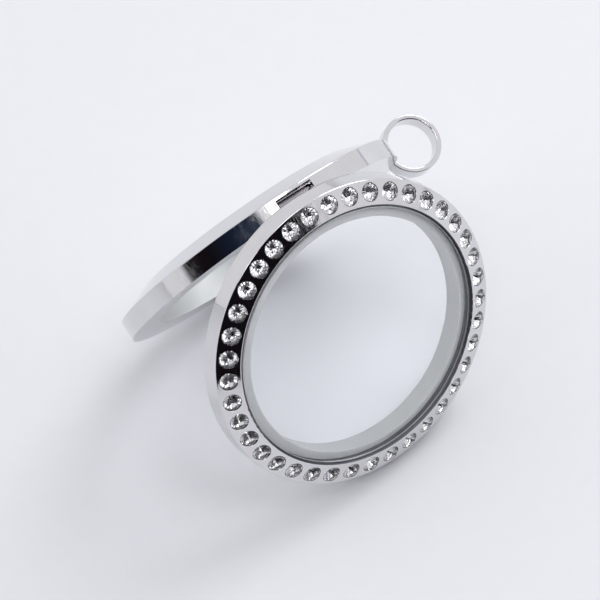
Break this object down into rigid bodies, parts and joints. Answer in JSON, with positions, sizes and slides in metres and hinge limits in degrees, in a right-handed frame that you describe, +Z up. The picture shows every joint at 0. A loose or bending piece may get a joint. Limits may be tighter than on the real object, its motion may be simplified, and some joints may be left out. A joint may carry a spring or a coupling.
{
  "type": "floating locket",
  "caption": "Hinged round steel locket with a window in each half, crystals set round the front rim and a flat band hanging ring, standing open on its two rims.",
  "frame": {"origin": "centre of the outer box, on the surface that the open locket stands on", "axes": "+Z up from the surface; +Y along the level line of sight of the reference view, away from the eye; +X to that view's right"},
  "size_m": [0.0342, 0.0332, 0.0283],
  "materials": {
    "steel": "mirror polished stainless steel",
    "glass": "clear flat window glass",
    "crystal": "clear faceted crystal",
    "magnet": "nickel plated"
  },
  "bodies": {
    "case": {"back_case": "steel", "back_glass": "glass", "hinge_pin": "steel", "back_magnet": "magnet"},
    "lid": {"front_ring": "steel", "front_glass": "glass", "front_magnet": "magnet", "stone_01": "crystal", "stone_02": "crystal", "stone_03": "crystal", "stone_04": "crystal", "stone_05": "crystal", "stone_06": "crystal", "stone_07": "crystal", "stone_08": "crystal", "stone_09": "crystal", "stone_10": "crystal", "stone_11": "crystal", "stone_12": "crystal", "stone_13": "crystal", "stone_14": "crystal", "stone_15": "crystal", "stone_16": "crystal", "stone_17": "crystal", "stone_18": "crystal", "stone_19": "crystal", "stone_20": "crystal", "stone_21": "crystal", "stone_22": "crystal", "stone_23": "crystal", "stone_24": "crystal", "stone_25": "crystal", "stone_26": "crystal", "stone_27": "crystal", "stone_28": "crystal", "stone_29": "crystal", "stone_30": "crystal", "stone_31": "crystal", "stone_32": "crystal", "stone_33": "crystal", "stone_34": "crystal", "stone_35": "crystal", "stone_36": "crystal", "stone_37": "crystal", "stone_38": "crystal", "stone_39": "crystal"}
  },
  "joints": [
    {"name": "lid_hinge", "type": "hinge", "parent": "case", "child": "lid", "pos_m": [0.00098, -0.00004, 0.02627], "axis": [-0.8691, -0.4877, 0.0828], "range_deg": [-48.5, 0]}
  ]
}
